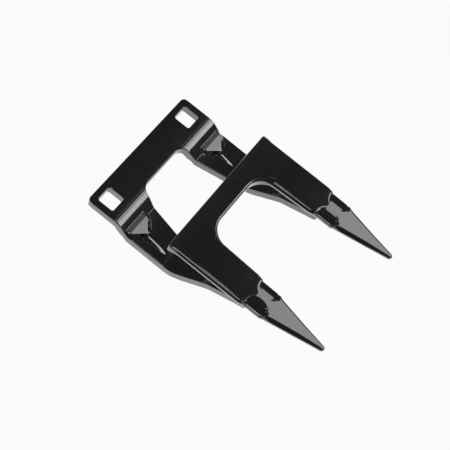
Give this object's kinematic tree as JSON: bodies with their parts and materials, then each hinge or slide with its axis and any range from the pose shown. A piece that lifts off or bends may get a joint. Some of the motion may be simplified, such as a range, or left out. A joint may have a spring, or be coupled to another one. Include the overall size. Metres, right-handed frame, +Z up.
{
  "type": "mower knife guard",
  "caption": "Double-finger knife guard for a finger-bar mower: two pressed steel plates welded at pointed noses, with a bolted bar behind and a slot for the knife between.",
  "frame": {"origin": "midway between the two bolt holes, on the upper face of the mounting bar", "axes": "+X across the guard to its right side, +Y forward to the points, +Z up out of the mounting face"},
  "size_m": [0.0982, 0.161, 0.0351],
  "materials": {
    "black_paint": "gloss",
    "painted_weld": "gloss"
  },
  "bodies": {
    "root": {"lower_plate": "black_paint", "upper_plate": "black_paint", "left_nose_weld": "painted_weld", "right_nose_weld": "painted_weld"}
  },
  "joints": []
}
